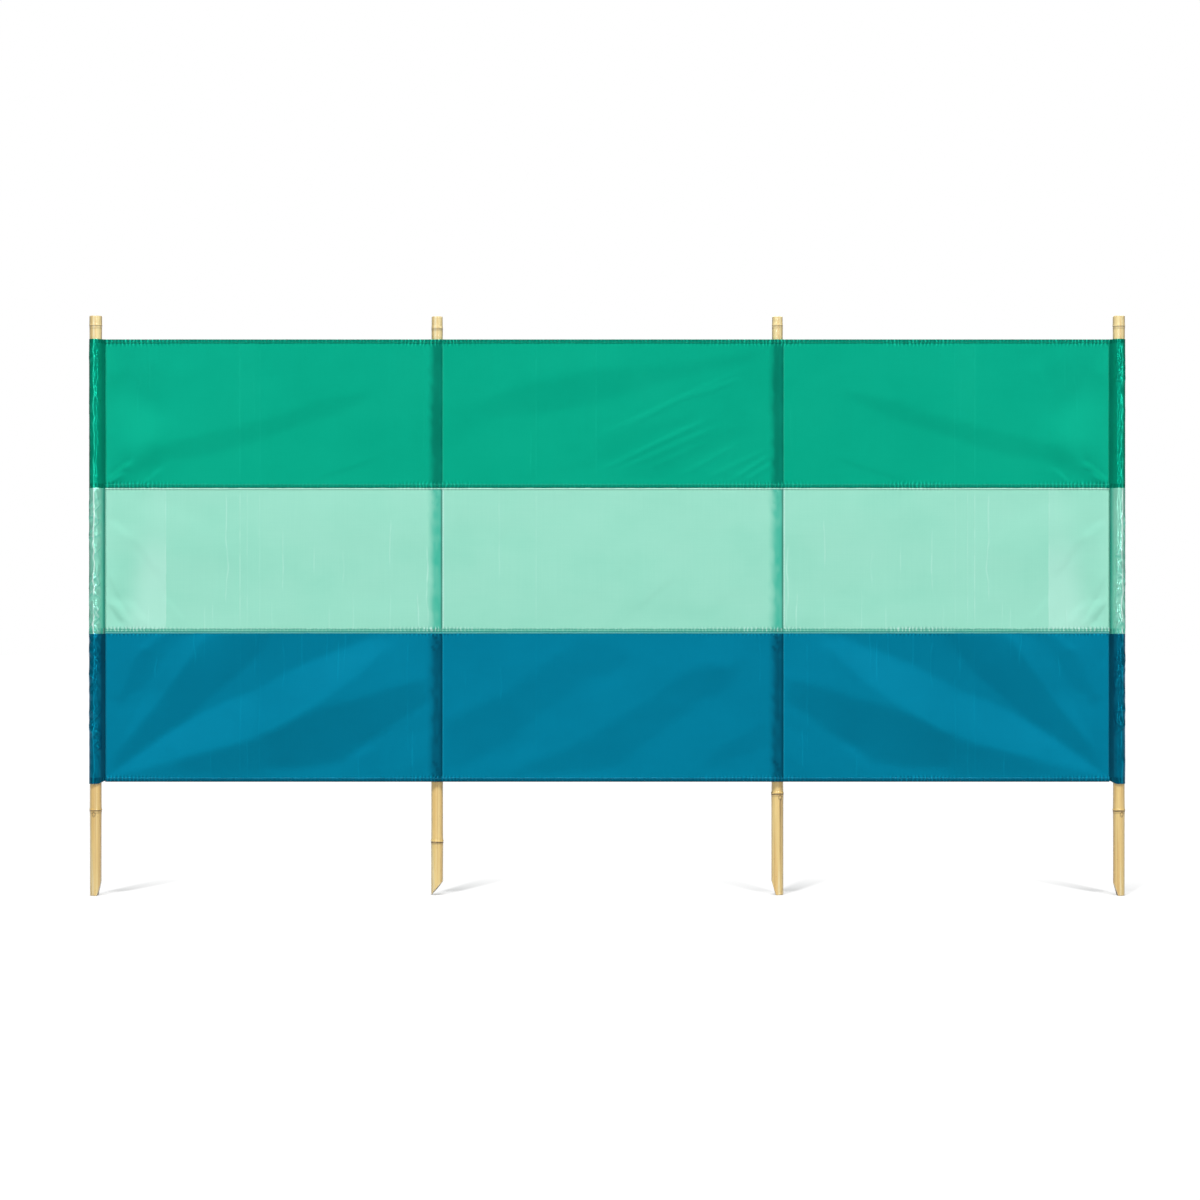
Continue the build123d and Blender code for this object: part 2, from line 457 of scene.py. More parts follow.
# ---- how far the cloth stands forward of its plane ----
# The folds of each kind of bay, in millimetres: u runs along the bay from its outer side, or from the middle bay's
# left side, and w up the stripe. Cloth that leans back as it rises looks lighter, and cloth that leans forward
# looks darker. Each patch has its soft edge, how strongly it leans back, and its outline. In an outer bay the blue
# folds fan out from the low outer corner over a long hollow; in the middle one broad hollows climb to the right.
PATCH_LEAN = 0.105
PATCHES = {
    ("outer", "blue"): [
        (12, 1.0, [
            (7, 3), (80, 56), (183, 124), (273, 174), (350, 198), (391, 224), (460, 262), (545, 296), (641, 333),
            (660, 306), (628, 276), (574, 225), (521, 190), (454, 152), (400, 116), (316, 82), (183, 48), (62, 14),
        ]),
        (10, -0.9, [
            (9, 8), (56, 85), (117, 158), (153, 212), (207, 284), (243, 333), (373, 333), (358, 293), (304, 236),
            (255, 197), (183, 132), (80, 61),
        ]),
        (10, 0.9, [
            (30, 70), (78, 165), (120, 215), (135, 262), (172, 333), (231, 333), (201, 284), (147, 215), (111, 164),
            (60, 100),
        ]),
        (10, -0.8, [(47, 190), (50, 224), (74, 280), (110, 330), (150, 330), (118, 262), (86, 206)]),
        (7, 1.1, [(32, 333), (56, 333), (53, 236), (38, 194), (29, 194)]),
        (12, 0.5, [(9, 176), (62, 164), (32, 85), (9, 19)]),
        (6, 0.9, [(80, 300), (110, 333), (128, 333), (104, 296)]),
        (6, -0.7, [(6, 333), (24, 333), (22, 270), (10, 280)]),
        (16, 0.5, [
            (120, 80), (200, 128), (330, 186), (430, 232), (560, 296), (600, 280), (520, 215), (430, 150),
            (330, 100), (183, 60),
        ]),
        (12, -0.9, [
            (367, 100), (442, 137), (503, 162), (617, 193), (666, 211), (753, 231), (753, 179), (696, 143),
            (635, 96), (581, 72), (551, 37), (454, 22), (367, 24),
        ]),
        (10, -0.25, [(183, 43), (358, 85), (358, 19), (123, 7)]),
        (8, 0.5, [(560, 49), (593, 70), (617, 85), (623, 70), (587, 43), (575, 4)]),
        (12, 0.45, [(699, 91), (747, 121), (747, 55), (708, 25)]),
    ],
    ("middle", "blue"): [
        (16, -0.62, [
            (8, 134), (62, 158), (152, 194), (195, 230), (291, 296), (327, 333), (388, 333), (421, 278), (394, 233),
            (315, 230), (300, 200), (255, 170), (207, 134), (134, 73), (62, 34), (8, 16),
        ]),
        (14, -0.68, [
            (195, 25), (285, 67), (333, 88), (394, 128), (484, 182), (532, 224), (569, 251), (623, 263), (665, 254),
            (683, 287), (695, 275), (677, 218), (653, 197), (599, 182), (551, 140), (454, 67), (418, 37), (358, 13),
            (237, 7),
        ]),
        (10, -0.55, [
            (605, 7), (611, 43), (653, 79), (713, 109), (750, 137), (756, 79), (720, 58), (683, 49), (647, 31),
        ]),
        (8, 0.5, [(158, 43), (183, 79), (190, 31), (171, 4)]),
    ],
    ("outer", "green"): [
        (12, -0.38, [
            (38, 19), (80, 56), (117, 86), (183, 104), (310, 134), (424, 164), (485, 191), (611, 215), (599, 194),
            (521, 158), (448, 134), (376, 110), (304, 86), (231, 65), (141, 56), (86, 31), (56, 16),
        ]),
        (30, 1.0, [(7, 170), (44, 231), (68, 200), (129, 152), (123, 110), (62, 80), (20, 19), (7, 44)]),
        (24, 0.35, [(86, 327), (141, 321), (201, 273), (153, 264), (104, 285)]),
    ],
    ("middle", "green"): [
        (14, -0.32, [
            (74, 170), (134, 215), (225, 237), (358, 267), (514, 273), (599, 285), (750, 309), (695, 279),
            (605, 261), (514, 237), (442, 215), (358, 185), (225, 164), (92, 155),
        ]),
        (10, -0.2, [(267, 31), (345, 62), (358, 104), (430, 122), (575, 164), (575, 146), (466, 104), (345, 38)]),
        (10, -0.25, [(424, 19), (514, 74), (605, 110), (695, 140), (713, 122), (605, 74), (502, 13)]),
    ],
}
# a stroke runs from one point (u, w) to another, with its half width and how strongly it leans back
STROKES = {
    ("outer", "green"): [
        (479, 7, 640, 62, 5, -0.035), (4, 8, 60, 56, 4, 0.3), (4, 2, 50, 30, 4, 0.24), (88, 2, 132, 40, 5, 0.1),
        (12, 2, 62, 40, 3, -0.14), (4, 318, 24, 250, 6, 0.1), (110, 160, 170, 285, 10, 0.03),
    ],
    ("middle", "green"): [
        (351, 28, 617, 155, 5.5, 0.042), (394, 30, 659, 147, 5.5, 0.038), (358, 113, 713, 278, 5.5, 0.032),
        (539, 16, 695, 104, 5.5, 0.036), (671, 13, 759, 71, 5.5, 0.075), (698, 10, 765, 53, 5.5, 0.07),
        (418, 128, 502, 173, 5.5, 0.03), (575, 205, 689, 249, 5.5, 0.045), (420, 140, 609, 225, 5.5, 0.022),
        (435, 70, 609, 150, 5.5, 0.028), (464, 34, 623, 106, 5.5, 0.028), (609, 15, 753, 85, 5.5, 0.04),
    ],
    ("outer", "mint"): [
        (10, 60, 40, 12, 6, -0.15), (8, 125, 34, 60, 5, -0.08), (24, 74, 60, 10, 5, 0.1),
        (137, 79, 186, 16, 7, 0.04), (60, 212, 130, 114, 9, -0.04), (10, 254, 60, 212, 9, 0.05),
        (50, 70, 100, 12, 10, 0.05), (120, 300, 310, 180, 12, 0.012),
    ],
    ("middle", "mint"): [
        (435, 29, 551, 130, 7, -0.03), (330, 40, 480, 215, 7, -0.018), (590, 20, 700, 105, 7, -0.018),
        (110, 180, 210, 300, 8, -0.015),
    ],
}
# upright creases: place along the bay, from and to which height in the stripe, height of the crease in hundredths
# of a millimetre, and its waver
CREASES = {
    ("outer", "green"): [
        (312, 0, 330, 16, 0), (358.5, 0, 330, 12, 0), (78, 130, 280, 10, 4), (104, 200, 300, 10, 3),
        (345, 140, 270, 8, 2), (738, 50, 200, 10, 2),
    ],
    ("outer", "mint"): [
        (140, 0, 330, 22, 0.5), (312, 0, 330, 25, 0), (328.5, 0, 330, 16, 0), (282, 50, 320, 28, 4),
        (357, 0, 330, 10, 1), (411, 80, 240, 28, 2), (485, 120, 200, 20, 2), (552, 90, 190, 24, 2),
        (575, -30, 100, 18, 3), (660, 130, 260, 24, 2), (660, -30, 90, 16, 1), (746, 0, 200, 45, 3),
        (724, -30, 90, 34, 3), (100, -30, 60, 14, 2), (230, -30, 60, 16, 1), (248, -30, 70, 16, 2),
        (386, -30, 70, 14, 2), (520, -30, 60, 16, 2),
    ],
    ("outer", "blue"): [
        (312, 0, 330, 15, 0), (357, 0, 330, 15, 0), (412, 200, 330, 35, 2), (540, 210, 330, 28, 1),
        (700, 50, 330, 18, 1), (119, 220, 290, 65, 6), (206, 250, 360, 34, 3), (228, 260, 360, 28, 2),
        (347, 220, 360, 22, 2), (455, 240, 360, 28, 2), (512, 260, 360, 28, 2), (554, 240, 360, 28, 2),
        (244, -30, 70, 24, 2), (330, -30, 100, 22, 2), (587, -30, 60, 22, 2), (711, 0, 120, 28, 3),
    ],
    ("middle", "green"): [
        (217, 0, 330, 13, 0), (356, 0, 330, 13, 0), (205, 0, 130, 20, 2),
    ],
    ("middle", "mint"): [
        (132, 100, 330, 14, 1), (217, 0, 330, 12, 0),
    ],
    ("middle", "blue"): [
        (137, 170, 270, 30, 3), (53, 200, 260, 22, 2), (735, 200, 330, 18, 1), (217, 0, 330, 10, 0),
    ],
}
# slow unevenness: its strength, its cells along and up, and its seed
UNEVEN = {
    ("middle", "blue"): (0.012, 0.05, 0.03, 5),
    ("outer", "mint"): (0.010, 0.09, 0.05, 9),
    ("middle", "mint"): (0.006, 0.09, 0.05, 11),
}
FOLD_STRENGTH = 2.30


def lean(kind, colour, u, w):
    """How far one stripe of cloth leans back as it rises: its patches, strokes and unevenness, added."""
    total = 0.0 * u * w
    for soft, value, outline in PATCHES.get((kind, colour), []):
        total += PATCH_LEAN * patch(u, w, outline, soft, value)
    for *ends, half, value in STROKES.get((kind, colour), []):
        total += stroke(u, w, ends, half, value)
        if (kind, colour) == ("middle", "green"):
            # each fine pull has a darker one below it
            u1, w1, u2, w2 = ends
            total += stroke(u, w, (u1 + 7, w1 - 7, u2 + 5, w2 - 8), 6, -0.6 * value)
    if (kind, colour) == ("outer", "mint"):
        total += 0.016 * waves(u, w, 0.030, 0.045, 13) * smooth(u, 0.22, 0.06)
    if (kind, colour) in UNEVEN:
        strength, cell_u, cell_w, seed = UNEVEN[kind, colour]
        total += strength * waves(u, w, cell_u, cell_w, seed)
    return FOLD_STRENGTH * total


# the height of each seam's middle, and the seed of its slow waves
SEAM_LINES = [
    ((HEM_LOW + BLUE_LOW) / 2, 21), ((BLUE_HIGH + MINT_LOW) / 2, 22),
    ((MINT_HIGH + GREEN_LOW) / 2, 23), ((GREEN_HIGH + CLOTH_TOP) / 2, 24),
]
OVER_POLE = 0.022  # the end of a bay that lies over an inner pole holds no folds
FOLD_WIDE = {bay: end - start - (0.0 if bay == "right" else OVER_POLE) for bay, (start, end) in BAYS.items()}
STEP_U, STEP_W = 0.002, 0.0015
SLOPE_COST = 0.60  # what slope along the bay costs, beside slope up the stripe


def from_outside(bay, x):
    """Distance from a bay's outer side, or from the middle bay's left side."""
    return BAYS[bay][1] - x if bay == "right" else x - BAYS[bay][0]


def fold_table(bay, colour):
    """Forward distance over one stripe of one bay, held at its edges like a taut skin: the surface that falls
    back with height as nearly as it can like the lean wanted, with a smaller cost for slope along the bay. Summed
    sines solve it: each wave of the lean's own slope, divided by its two wave numbers squared and added."""
    wide, tall = FOLD_WIDE[bay], STRIPES[colour][1] - STRIPES[colour][0]
    count_u, count_w = int(wide / STEP_U), int(tall / STEP_W)
    m, k = np.arange(1, count_u + 1), np.arange(1, count_w + 1)
    u = (m * wide / (count_u + 1))[None, :]
    w = (k * tall / (count_w + 1))[:, None]
    wanted = lean(KIND[bay], colour, from_outside(bay, BAYS[bay][0] + u), w)
    change = -np.gradient(wanted, tall / (count_w + 1), axis=0)
    waves_w = np.sin(math.pi * np.outer(k, k) / (count_w + 1))
    waves_u = np.sin(math.pi * np.outer(m, m) / (count_u + 1))
    share = waves_w @ change @ waves_u * 4.0 / ((count_w + 1) * (count_u + 1))
    stiffness = ((k * math.pi / tall) ** 2)[:, None] + SLOPE_COST * ((m * math.pi / wide) ** 2)[None, :]
    return np.pad(waves_w @ (-share / stiffness) @ waves_u, 1)


FOLD_TABLES = {(bay, colour): fold_table(bay, colour) for bay in BAYS for colour in STRIPES}


def folds(bay, colour, u, w):
    """The fold table read at (u, w) from the bay's left side."""
    table = FOLD_TABLES[bay, colour].T
    low, high = STRIPES[colour]
    columns, rows = table.shape[0] - 1, table.shape[1] - 1
    a = np.clip(u / FOLD_WIDE[bay] * columns, 0.0, columns - 0.001)
    return between(table, a, np.clip(w / (high - low) * rows, 0.0, rows - 0.001))


def tightness(bay, x):
    """How hard the stitching gathers the cloth: most near the outer poles, and in patches elsewhere."""
    near = (1.0 - smooth(from_outside(bay, x), 0.04, 0.22)) * (bay != "middle")
    return 0.12 + 0.88 * np.maximum(near, smooth(wander(x, 0.16, 71), 0.1, 1.0))


def creases(bay, colour, x, w, pale=False):
    """Narrow upright ridges, each a bell curve across its own wavering line, fading at its ends; or, with pale set,
    each ridge's painted highlight: a pale line, broken in places."""
    total = 0.0 * x * w
    for number, (*spans, height, waver) in enumerate(CREASES[KIND[bay], colour]):
        place, low, high, waver = [part / MM for part in (*spans, waver)]
        off = from_outside(bay, x) - place - waver * wander(w, 0.035, 31 + number)
        ridge = height / 1e5 * window(w, low, low + 0.03, high - 0.03, high)
        if pale:
            broken = 0.4 + 0.6 * smooth(wander(w, 0.02, 51 + number), -0.5, 0.5)
            total = total + 4200.0 * ridge * broken * bell(off, 0.0012)
        else:
            total = total + ridge * bell(off, 0.0013)
    return total


# small slanting pinches over an inner pole, in millimetres from its axis and below a seam
PINCHES = [(-10, 2, 4, 14), (-2, 18, 10, 26), (10, 30, 0, 44), (-12, 30, -2, 40)]


def kinks(off, z):
    """The pinches over an inner pole, under each seam and above the bottom hem."""
    pinch = 0.0 * off * z
    for high, deep in ((BLUE_HIGH, 1.0), (MINT_HIGH, 0.35), (BLUE_LOW + 0.040, 0.7)):
        for ends in PINCHES:
            pinch = pinch + deep * stroke(off, high - z, ends, 2.8, 1.0)
    return pinch


def forward(bay, x, z):
    """Forward distance of a bay's cloth at (x, z): slow waves of the seam lines, shared between them, plus the
    stripe's folds and creases, small puckers beside the stitching, and a swell where it runs over a pole."""
    start, end = BAYS[bay]
    lines = [0.0006 * wander(x, 0.11, seed) + 0.0003 * wander(x, 0.034, seed + 40) for _, seed in SEAM_LINES]
    depth = lines[0] + 0.0 * z
    for k in range(len(SEAM_LINES) - 1):
        below, above = SEAM_LINES[k][0], SEAM_LINES[k + 1][0]
        depth = depth + (lines[k + 1] - lines[k]) * np.clip((z - below) / (above - below), 0.0, 1.0)
    depth = depth * window(x, start, start + 0.03, end - 0.045, end - 0.010)
    for colour, (low, high) in STRIPES.items():
        from_edge = np.minimum(z - low, high - z).clip(0.0)
        puckers = 0.0007 * np.exp(-from_edge / 0.009) * tightness(bay, x) * waves(x, z, 0.0065, 0.04, 61)
        puckers = puckers * (1.0 - np.exp(-from_edge / 0.002))
        if colour == "mint":
            # its turned edge stands proud just below the green seam
            puckers = puckers + 0.0012 * bell(z - high + 0.0011, 0.0010)
        raised = folds(bay, colour, x - start, z - low) + creases(bay, colour, x, z - low) + puckers
        depth = depth + np.where((z > low) & (z < high), raised, 0.0)
    for pole in INNER_POLES:
        off = x - AXIS[pole][0]
        depth = depth + 0.0014 * window(off, -0.030, -0.002, 0.003, INNER_SEAM) + 0.0010 * kinks(off, z)
    return depth


# ---- flat cloth ----
# each colour's own looks: how dark its painted shade is over an inner pole and along the edge of that sleeve's
# seam, how bright its painted highlight where it turns forward past that seam, and how far and how strongly it
# puckers at its top edge
POLE_SHADE = {"green": 1.08, "mint": 0.95, "blue": 0.86}
SEAM_SHADE = {"green": 0.35, "mint": 1.0, "blue": 1.0}
SEAM_SHINE = {"green": 1.2, "mint": 2.6, "blue": 2.0}
TUCK_REACH = {"green": 0.0055, "mint": 0.0040, "blue": 0.0045}
TUCK_ABOVE = {"green": 0.9, "mint": 0.3, "blue": 0.6}
BEND_HALF = 0.007  # half the width of a bend each side of a fold's line; nothing here bends the cloth
FINE_STEP = 0.0012  # between grid lines near creases, seams and the folds between bays


def layers_and_shade_over_pole(x, z, colour):
    """How layered the cloth looks near an inner pole, by distance from the pole's axis: doubled cloth with painted
    shade where the pole blocks the light from behind, and a painted dark line along the seam's edge. Its soft left
    edge wanders with the wrinkles there."""
    layers = 0.0 * x * z
    for number, pole in enumerate(INNER_POLES):
        off = x - AXIS[pole][0] + 0.0 * z
        off = off + 0.0030 * waves(z + 0.8 * off, off, 0.016, 0.012, 55 + number) * smooth(off, 0.004, -0.006)
        mottle = 1.0 + 0.16 * waves(z, off, 0.018, 0.008, 57 + number)
        across = np.interp(off, [-0.022, -0.014, -0.006, 0.0, 0.0125, 0.0132], [0.0, 0.35, 0.9, 1.0, 1.0, 0.0])
        layers = layers + POLE_SHADE[colour] * mottle * across
        layers = layers + SEAM_SHADE[colour] * np.interp(off, [0.0088, 0.0100, 0.0122, 0.0130], [0.0, 1.0, 1.0, 0.0])
    return layers


def seam_edge(x):
    """1 on the narrow lit edge just past an inner seam, where the cloth turns forward again."""
    return bell(x - SEAM_LEFT - 0.0018, 0.0014) + bell(x - SEAM_RIGHT - 0.0018, 0.0014)


def join_or_ride(piece, bay):
    """The left bay's cloth rides on the left bay; the next two have their place fixed into their points."""
    if bay == "left":
        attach(piece, "left_bay")
        return
    first, second, fold = {
        "middle": ("left_bay", "middle_bay", "left_fold"),
        "right": ("middle_bay", "right_bay", "right_fold"),
    }[bay]
    line = FOLDS[fold]
    line - BEND_HALF
    line + BEND_HALF
    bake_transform(piece)


def gathered(bay, colour, x, z):
    """How puckered a panel is beside the stitching of its low and high edges."""
    low, high = STRIPES[colour]
    at_low = 0.6 * bell((z - low).clip(0.0), TUCK_REACH[colour])
    at_high = TUCK_ABOVE[colour] * bell((high - z).clip(0.0), TUCK_REACH[colour])
    return (at_low + at_high) * tightness(bay, x)


def painted_highlights(bay, colour, x, z):
    """How strongly a panel's painted sheen and highlights show: along the inner seams' lit edges, the creases, the
    strip between two creases, the patches by the outer sleeves, and the mint stripe's turned top edge."""
    low, high = STRIPES[colour]
    across, w = from_outside(bay, x), z - low
    pressed = SEAM_SHINE[colour] * seam_edge(x) + creases(bay, colour, x, w, pale=True)
    if colour == "mint":
        pressed = pressed + 1.3 * smooth(z, high - 0.0030, high - 0.0012)
    if bay == "middle":
        return pressed
    pressed = pressed + 0.25 * bell(across, 0.018)
    strip = 0.2 * window(across, 0.300, 0.315, 0.342, 0.362)
    if colour == "green":
        pressed = pressed + strip * smooth(w, 0.12, 0.24)
        return pressed + 0.30 * smooth(across, 0.16, 0.03) * (0.6 + 0.4 * waves(across, w, 0.045, 0.10, 17))
    if colour == "blue":
        return pressed + strip * smooth(w, 0.11, 0.17) * smooth(w, 0.27, 0.21)
    flat = smooth(across - 0.15 * w, 0.02, 0.09) * (1.0 - smooth(across, 0.139, 0.141))
    return pressed + flat * (0.30 + 0.70 * (1.0 - smooth(w, 0.14, 0.24)))


def panel(bay, colour):
    """One stripe of one bay: a grid over (x, z) whose y is the cloth's plane less its forward distance."""
    start, end = BAYS[bay]
    low, high = STRIPES[colour]
    marks = [crease[0] / MM for crease in CREASES[KIND[bay], colour]]
    marks = [end - mark if bay == "right" else start + mark for mark in marks] + list(FOLDS.values())
    marks += [AXIS[pole][0] + off for pole in INNER_POLES for off in (-0.012, 0.0, INNER_SEAM)]
    step = 0.0034 if (bay, colour) == ("middle", "green") else 0.0036
    rise = {"green": step, "mint": 0.0045, "blue": 0.0055}[colour]
    x = places(start, end, step, FINE_STEP, marks, 0.0036)[None, :]
    z = places(low - 0.002, high + 0.002, rise, 0.0008, [low, high], 0.005)[:, None]
    y = CLOTH_Y - forward(bay, x, np.clip(z, low, high))
    # painted shade along the small pinches over each inner pole
    pinch_shade = sum(kinks(x - AXIS[pole][0] + 0.0015, z - 0.0015) for pole in INNER_POLES)
    piece = surface(
        f"{bay}_{colour}_cloth", (x, y, z), CLOTHS[colour], uv=("cloth", x, z),
        marks={
            "layers": layers_and_shade_over_pole(x, z, colour) + 0.45 * pinch_shade,
            "pressed": painted_highlights(bay, colour, x, z),
            "tuck": gathered(bay, colour, x, z),
        },
        thick=CLOTH_THICK,
    )
    join_or_ride(piece, bay)
    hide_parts(f"{bay}_{colour}_panel")
    return piece


BANDS = [
    # name, colour, low, high, thickness, how hard it is gathered, heights of its rows of stitches above its low
    # edge, and its shades from the low edge up: the stacked cloth, with painted shade along its edges and in lines
    # across it
    ("bottom_hem", "blue", HEM_LOW - 0.0018, BLUE_LOW, 0.0016, 0.3, [0.0082],
     [2.0, 1.6, 1.15, 0.85, 0.55, 0.35, 0.2]),
    ("mint_seam", "mint", BLUE_HIGH, MINT_LOW, 0.0009, 0.55, [0.0030, 0.0090],
     [0.55, 0.40, 0.20, 0.20, 0.6, 1.6, 2.0, 1.3, 0.1, 0.1, 1.2, 2.6, 2.4]),
    ("green_seam", "green", MINT_HIGH, GREEN_LOW, 0.0014, 0.5, [0.0022, 0.0078],
     [2.0, 1.3, 0.85, 0.7, 0.65, 0.65, 0.6]),
    ("top_hem", "green", GREEN_HIGH, CLOTH_TOP, 0.0016, 0.85, [0.0018],
     [0.2, 0.4, 0.6, 0.8, 1.1, 1.6, 2.4]),
]


def band(bay, name, colour, low, high, thick, tuck, rows, shades):
    """A turned hem or lapped seam: a flattened loop, swept along the bay, that follows the cloth behind it."""
    start, end = BAYS[bay]
    marks = list(FOLDS.values()) + [AXIS[pole][0] + INNER_SEAM for pole in INNER_POLES]
    x = places(start, end, 0.0034, FINE_STEP, marks, 0.005)[:, None]
    # a rounded oblong: even steps up its front and its back, whose thickness falls off at both edges
    rise = np.concatenate([np.linspace(-1, 1, 14), np.linspace(1, -1, 7)[1:-1]])[None, :]
    face = np.concatenate([np.ones(14), -np.ones(5)])[None, :]
    z = (high + low) / 2 + (high - low) / 2 * rise
    out = face * (1.0 - np.abs(rise) ** 6)
    sunk = 0.00022 * sum(bell(z - low - row, 0.0008) for row in rows)
    ripple = 0.0004 * waves(x, z, 0.0075, 0.03, 81)
    y = CLOTH_Y - forward(bay, x, z) - 0.0002 - (thick / 2) * out - (ripple - sunk) * (face > 0)
    # the stacked cloth with its painted shade, from the shades given
    layers = np.interp((z - low) / (high - low), np.linspace(0, 1, len(shades)), shades)
    tucked, under = (0.15 + 0.85 * tightness(bay, x)) * tuck, 0.0
    if name == "mint_seam":
        # the blue stripe's edge shows through the low part of this lap, which lies flat
        tucked = tucked * smooth(z, low + 0.0045, low + 0.0070)
        under = 0.75 * (1.0 - smooth(z, low + 0.002, low + 0.007))
    piece = surface(
        f"{bay}_{name}_band", (x, y, z), CLOTHS[colour], closed=True, uv=("cloth", x, z),
        marks={"layers": layers + 0.5 * layers_and_shade_over_pole(x, z, colour), "tuck": tucked, "under": under},
    )
    join_or_ride(piece, bay)
    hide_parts(f"{bay}_{name}")
    return piece


STITCH_LENGTH, STITCH_RADIUS, STITCH_PITCH = 0.0026, 0.00033, 0.0036


def stitches(name, bay, x, y, z, along, colour):
    """Short rounded threads: at each centre a five sided spindle along its direction, thinner at both ends."""
    ring = np.linspace(0.0, 2.0 * math.pi, 5, endpoint=False)
    reach = np.array([-0.5, -0.36, 0.0, 0.36, 0.5])[:, None, None] * STITCH_LENGTH
    girth = np.array([0.12, 0.8, 1.0, 0.8, 0.12])[:, None] * STITCH_RADIUS
    sink = np.array([1.0, 0.35, 0.0, 0.35, 1.0])[:, None] * STITCH_RADIUS * 1.3
    front = np.array([0.0, -1.0, 0.0])
    spindle = np.array(along) * reach + np.cross(along, front) * (girth * np.cos(ring))[..., None]
    spindle = spindle + front * (girth * np.sin(ring) - sink)[..., None]
    centres = np.stack([x, y, z], axis=-1)
    points = centres[:, None, None, :] + spindle
    first = 25 * np.arange(len(centres))[:, None]
    quads = (corners_of(5, 5, closed=True) + first[..., None]).reshape(-1, 4).tolist()
    caps = (np.array([4, 3, 2, 1, 0]) + first).tolist() + (np.array([20, 21, 22, 23, 24]) + first).tolist()
    mesh = bpy.data.meshes.new(name)
    mesh.from_pydata(points.reshape(-1, 3).tolist(), [], quads + caps)
    mesh.polygons.foreach_set("use_smooth", np.ones(len(mesh.polygons), bool))
    mesh.update()
    mesh.materials.append(THREADS[colour])
    made = place_in_scene(name, mesh)
    join_or_ride(made, bay)
    return made


def stitch_rows(bay, name, colour, heights, proud):
    """Rows of stitches along a bay at these heights, each on the front of the band there."""
    start, end = BAYS[bay]
    row = np.arange(start + 0.003, end - 0.002, STITCH_PITCH)
    x = np.tile(row, len(heights))
    z = np.repeat(heights, len(row)) + 0.00018 * wander(x, 0.02, 91)
    y = CLOTH_Y - forward(bay, x, z) - proud
    return stitches(f"{bay}_{name}_stitches", bay, x, y, z, (1.0, 0.0, 0.0), colour)


def upright_stitches(name, bay, x, colour, proud):
    """One row of stitches up a seam at this x."""
    low, high = SLEEVE_SPANS[colour]
    z = np.arange(low + 0.002, high - 0.002, STITCH_PITCH)
    y = CLOTH_Y - forward(bay, np.full_like(z, x), z) - proud
    return stitches(name, bay, x + 0.0002 * wander(z, 0.02, 93), y, z, (0.0, 0.0, 1.0), colour)


UPRIGHT_SEAMS = {"left": LEFT_TAIL + 0.0022, "middle": SEAM_LEFT + 0.0012, "right": SEAM_RIGHT + 0.0012}
for bay, (start, end) in BAYS.items():
    sheets = {colour: panel(bay, colour) for colour in STRIPES}
    on_sheet = {colour: [] for colour in STRIPES}
    for name, colour, low, high, thick, tuck, rows, shades in BANDS:
        on_sheet[colour].append(band(bay, name, colour, low, high, thick, tuck, rows, shades))
        on_sheet[colour].append(stitch_rows(bay, name, colour, [low + row for row in rows], thick / 2 + 0.00025))
    for colour in SLEEVE_SPANS:
        seams = [(f"{bay}_{colour}_upright_stitches", UPRIGHT_SEAMS[bay])]
        if bay == "right":
            seams.append((f"right_{colour}_end_stitches", RIGHT_TAIL - 0.0022))
        on_sheet[colour] += [upright_stitches(name, bay, x, colour, 0.0003) for name, x in seams]
    for colour, (low, high) in STRIPES.items():
        end - start
        high - low + 0.004


# ---- bamboo poles ----
CULMS = {
    # radius at the foot and the top, lowest node, highest node below the top, stake cut: side, start, height, turn
    "left_outer": (0.0133, 0.0142, 0.197, 0.023, 1, 0.0045, 0.034, 0.0),
    "left_inner": (0.0139, 0.0125, 0.124, 0.027, 1, -0.0126, 0.032, -8.0),
    "right_inner": (0.0139, 0.0118, 0.235, 0.021, -1, 0.0040, 0.034, 0.0),
    "right_outer": (0.0133, 0.0136, 0.197, 0.024, -1, 0.0033, 0.031, 0.0),
}
CULM_WALL = 0.0058
DIAPHRAGM = 0.004
AROUND = 80
CUT_ROWS = 9
RIM = 0.0006  # the outside ends this far below the pole's top, where its rim is rounded off
LEVEL = 0.05  # from this height up the points round a culm are level, and below it they follow the slanting cut
# a bud scar just under the lowest node: its turn about the axis, where -90 degrees faces forward
BUDS = {"left_outer": -101.0, "right_inner": -66.0, "right_outer": -70.0}
BUD_DROP = 0.0085
GROOVE_TURN = -63.0
# how far under the middle of each node its dark line lies
LINE_DROP = {"left_outer": 0.0002, "left_inner": 0.0022, "right_inner": 0.0010, "right_outer": 0.0010}
# how much darker each culm is all round, and which side has painted shade down it: 1 is the right and -1 the left
DARKER_AND_SHADED = {"left_outer": (0.10, 1), "left_inner": (0.0, 1), "right_inner": (0.0, 1), "right_outer": (0.06, -1)}


def culm_nodes(name):
    low, stub = CULMS[name][2:4]
    return np.linspace(low, POLE_TOP - stub, 5)


def culm_radius(name, z):
    """Radius of a culm at height z: a step at each node, a slight waist between nodes, and at each node a
    rounded ridge over the thin lip of the sheath scar."""
    foot, top = CULMS[name][:2]
    radius = foot + 0.0 * z
    for node in culm_nodes(name):
        radius = radius + (top - foot) / 5 * smooth(z, node - 0.006, node + 0.006)
        off = z - node
        # nodes that a sleeve has to pass over are smoothed down, and the top ones a little
        bold = 0.65 if node > CLOTH_TOP else 0.35 if node > HEM_LOW else 1.0
        radius = radius + 0.00045 * bold * np.exp(-np.abs(off) / 0.020)
        for height, drop, width in ((0.00080, -0.0012, 0.0022), (0.00055, 0.0026, 0.0008), (-0.00045, 0.0010, 0.0008)):
            radius = radius + height * bold * bell(off + drop, width)
    return radius


def facing(phi, middle):
    """Degrees round the axis from a middle direction, from -180 to 180."""
    return (np.degrees(phi) - middle + 180) % 360 - 180


